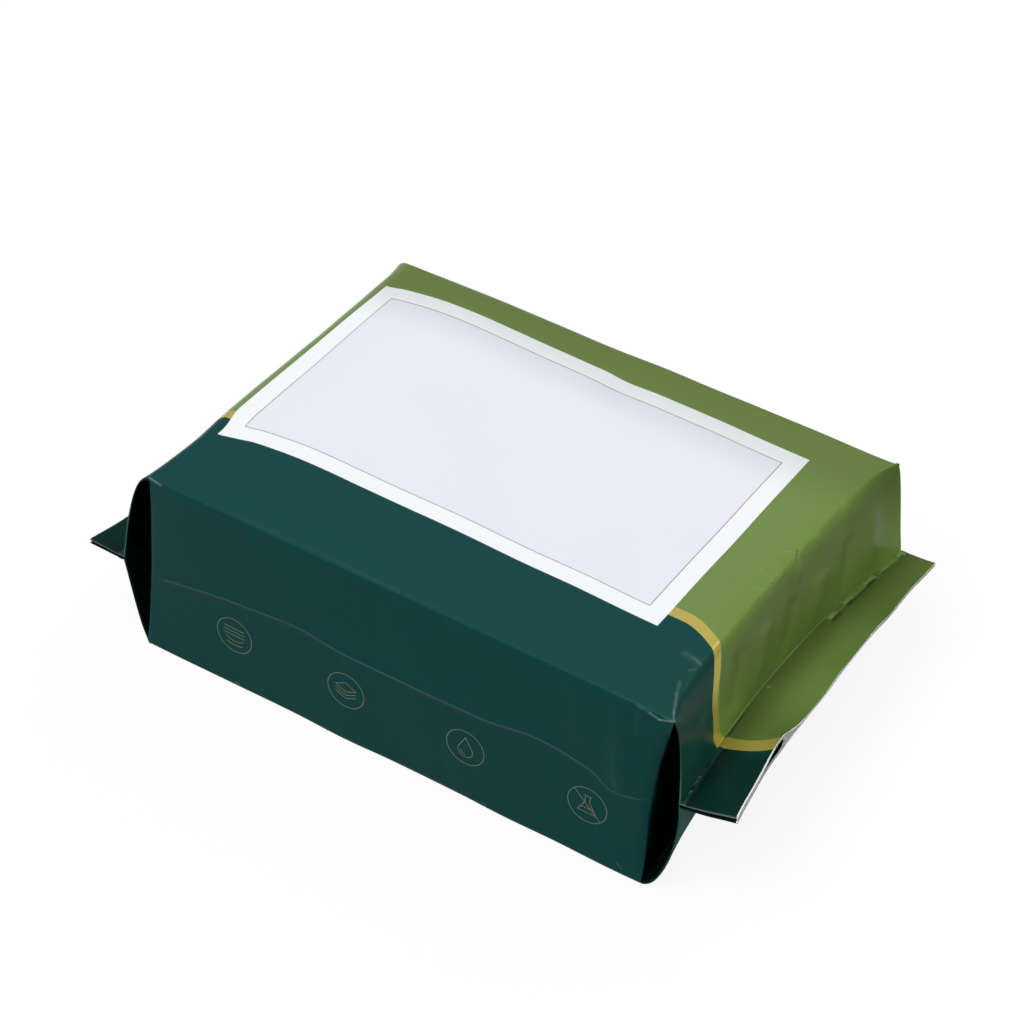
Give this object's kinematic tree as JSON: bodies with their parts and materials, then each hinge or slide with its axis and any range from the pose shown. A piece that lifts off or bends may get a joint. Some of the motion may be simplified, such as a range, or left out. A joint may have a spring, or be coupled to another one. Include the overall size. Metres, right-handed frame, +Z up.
{
  "type": "sealed face towel pack",
  "caption": "Sealed soft pack of folded disposable face towels in printed film, with tucked corner gussets and a flat welded fin at each end.",
  "frame": {"origin": "on the resting plane, at the middle of the pack's overall length and width", "axes": "+X along the pack towards its right end, -Y towards the printed front, +Z up out of the printed top"},
  "size_m": [0.259, 0.157, 0.0816],
  "materials": {
    "printed_film": "semi-gloss printed polyethylene film, dark teal front and base, moss green top back and ends, thin gold band, plain white panel on top"
  },
  "bodies": {
    "root": {"towel_pack": "printed_film"}
  },
  "joints": []
}
